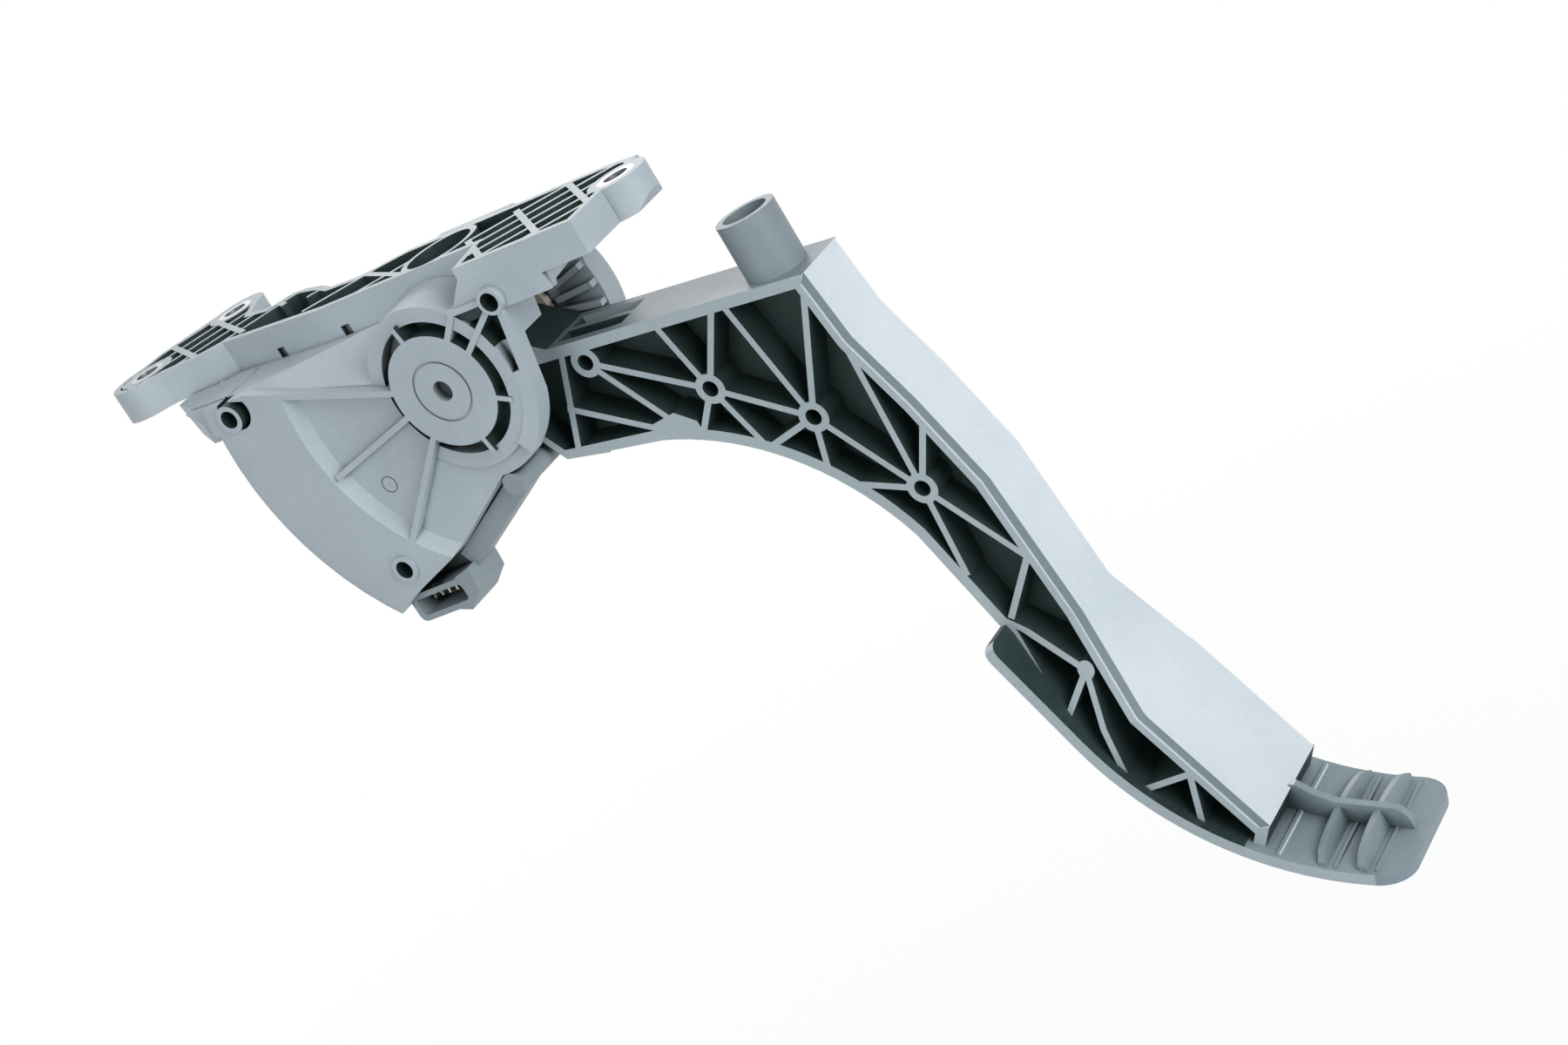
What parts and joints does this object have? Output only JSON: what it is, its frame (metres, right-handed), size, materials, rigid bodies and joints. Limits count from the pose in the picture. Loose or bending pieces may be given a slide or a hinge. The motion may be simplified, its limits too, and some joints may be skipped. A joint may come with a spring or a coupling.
{
  "type": "accelerator pedal",
  "caption": "Electronic accelerator pedal with a truss-ribbed hanging arm, curved foot pad, sector-shaped sensor housing and a ribbed flange that bolts to the bulkhead.",
  "frame": {"origin": "midway between the two main bolt holes, on the mounting face that meets the bulkhead", "axes": "+X along the line of the main holes towards the foot pad, +Y along the pivot towards the sensor side, +Z out of the mounting face into the bulkhead"},
  "size_m": [0.2917, 0.063, 0.2245],
  "materials": {
    "housing_plastic": "satin moulded",
    "arm_plastic": "satin moulded",
    "bush_plastic": "smooth",
    "steel": "zinc plated",
    "spring_steel": "drawn wire",
    "magnet": "nickel plated",
    "terminal_metal": "tin plated",
    "rubber": "matt",
    "circuit_board": "coated",
    "chip_plastic": "matt"
  },
  "bodies": {
    "module": {"housing": "housing_plastic", "rear_cover": "housing_plastic", "connector": "housing_plastic", "terminals": "terminal_metal", "pivot_axle": "steel", "cover_screws": "steel", "mounting_bushes": "steel", "sensor_board": "circuit_board", "sensor_chips": "chip_plastic", "sensor_lid": "housing_plastic", "lid_seal": "rubber", "idle_buffer": "rubber", "outer_return_spring": "spring_steel", "inner_return_spring": "spring_steel"},
    "pedal": {"pedal_arm": "arm_plastic", "near_pivot_bush": "bush_plastic", "far_pivot_bush": "bush_plastic", "sensor_rotor": "bush_plastic", "rotor_magnets": "magnet", "spring_cup": "bush_plastic", "friction_shoe": "bush_plastic"}
  },
  "joints": [
    {"name": "pedal_travel", "type": "hinge", "parent": "module", "child": "pedal", "pos_m": [0.0245, 0, -0.027], "axis": [0, -1, 0], "range_deg": [0, 12], "stiffness_Nm_per_rad": 14, "springref_deg": -11.46, "deforming": ["outer_return_spring", "inner_return_spring"]}
  ]
}
